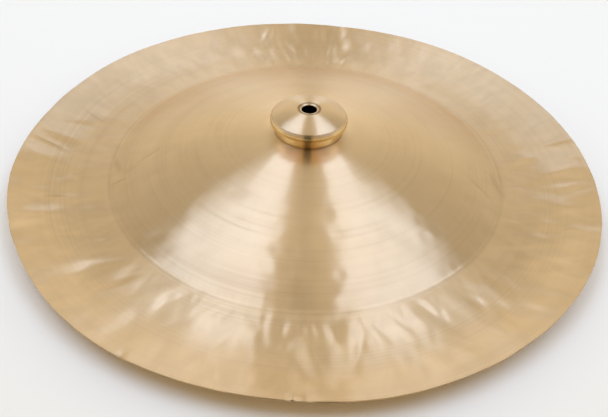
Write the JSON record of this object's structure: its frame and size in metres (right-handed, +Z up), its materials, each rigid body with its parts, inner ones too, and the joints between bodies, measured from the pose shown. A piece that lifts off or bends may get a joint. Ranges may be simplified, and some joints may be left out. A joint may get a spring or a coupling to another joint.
{
  "type": "china cymbal",
  "caption": "Hand-hammered bronze china cymbal: handle-shaped bell with a rod hole, domed bow, sharp bend and upturned flange.",
  "frame": {"origin": "on the cymbal's axis, in the plane that the bend rests on when it lies bell up", "axes": "+Z up along the axis, out of the bell; -Y is the side towards the camera in the picture"},
  "size_m": [0.4826, 0.4826, 0.0539],
  "materials": {
    "bell_bronze": "lathed and hand-hammered bell bronze, satin with fine turned grooves"
  },
  "bodies": {
    "root": {"cymbal": "bell_bronze"}
  },
  "joints": []
}
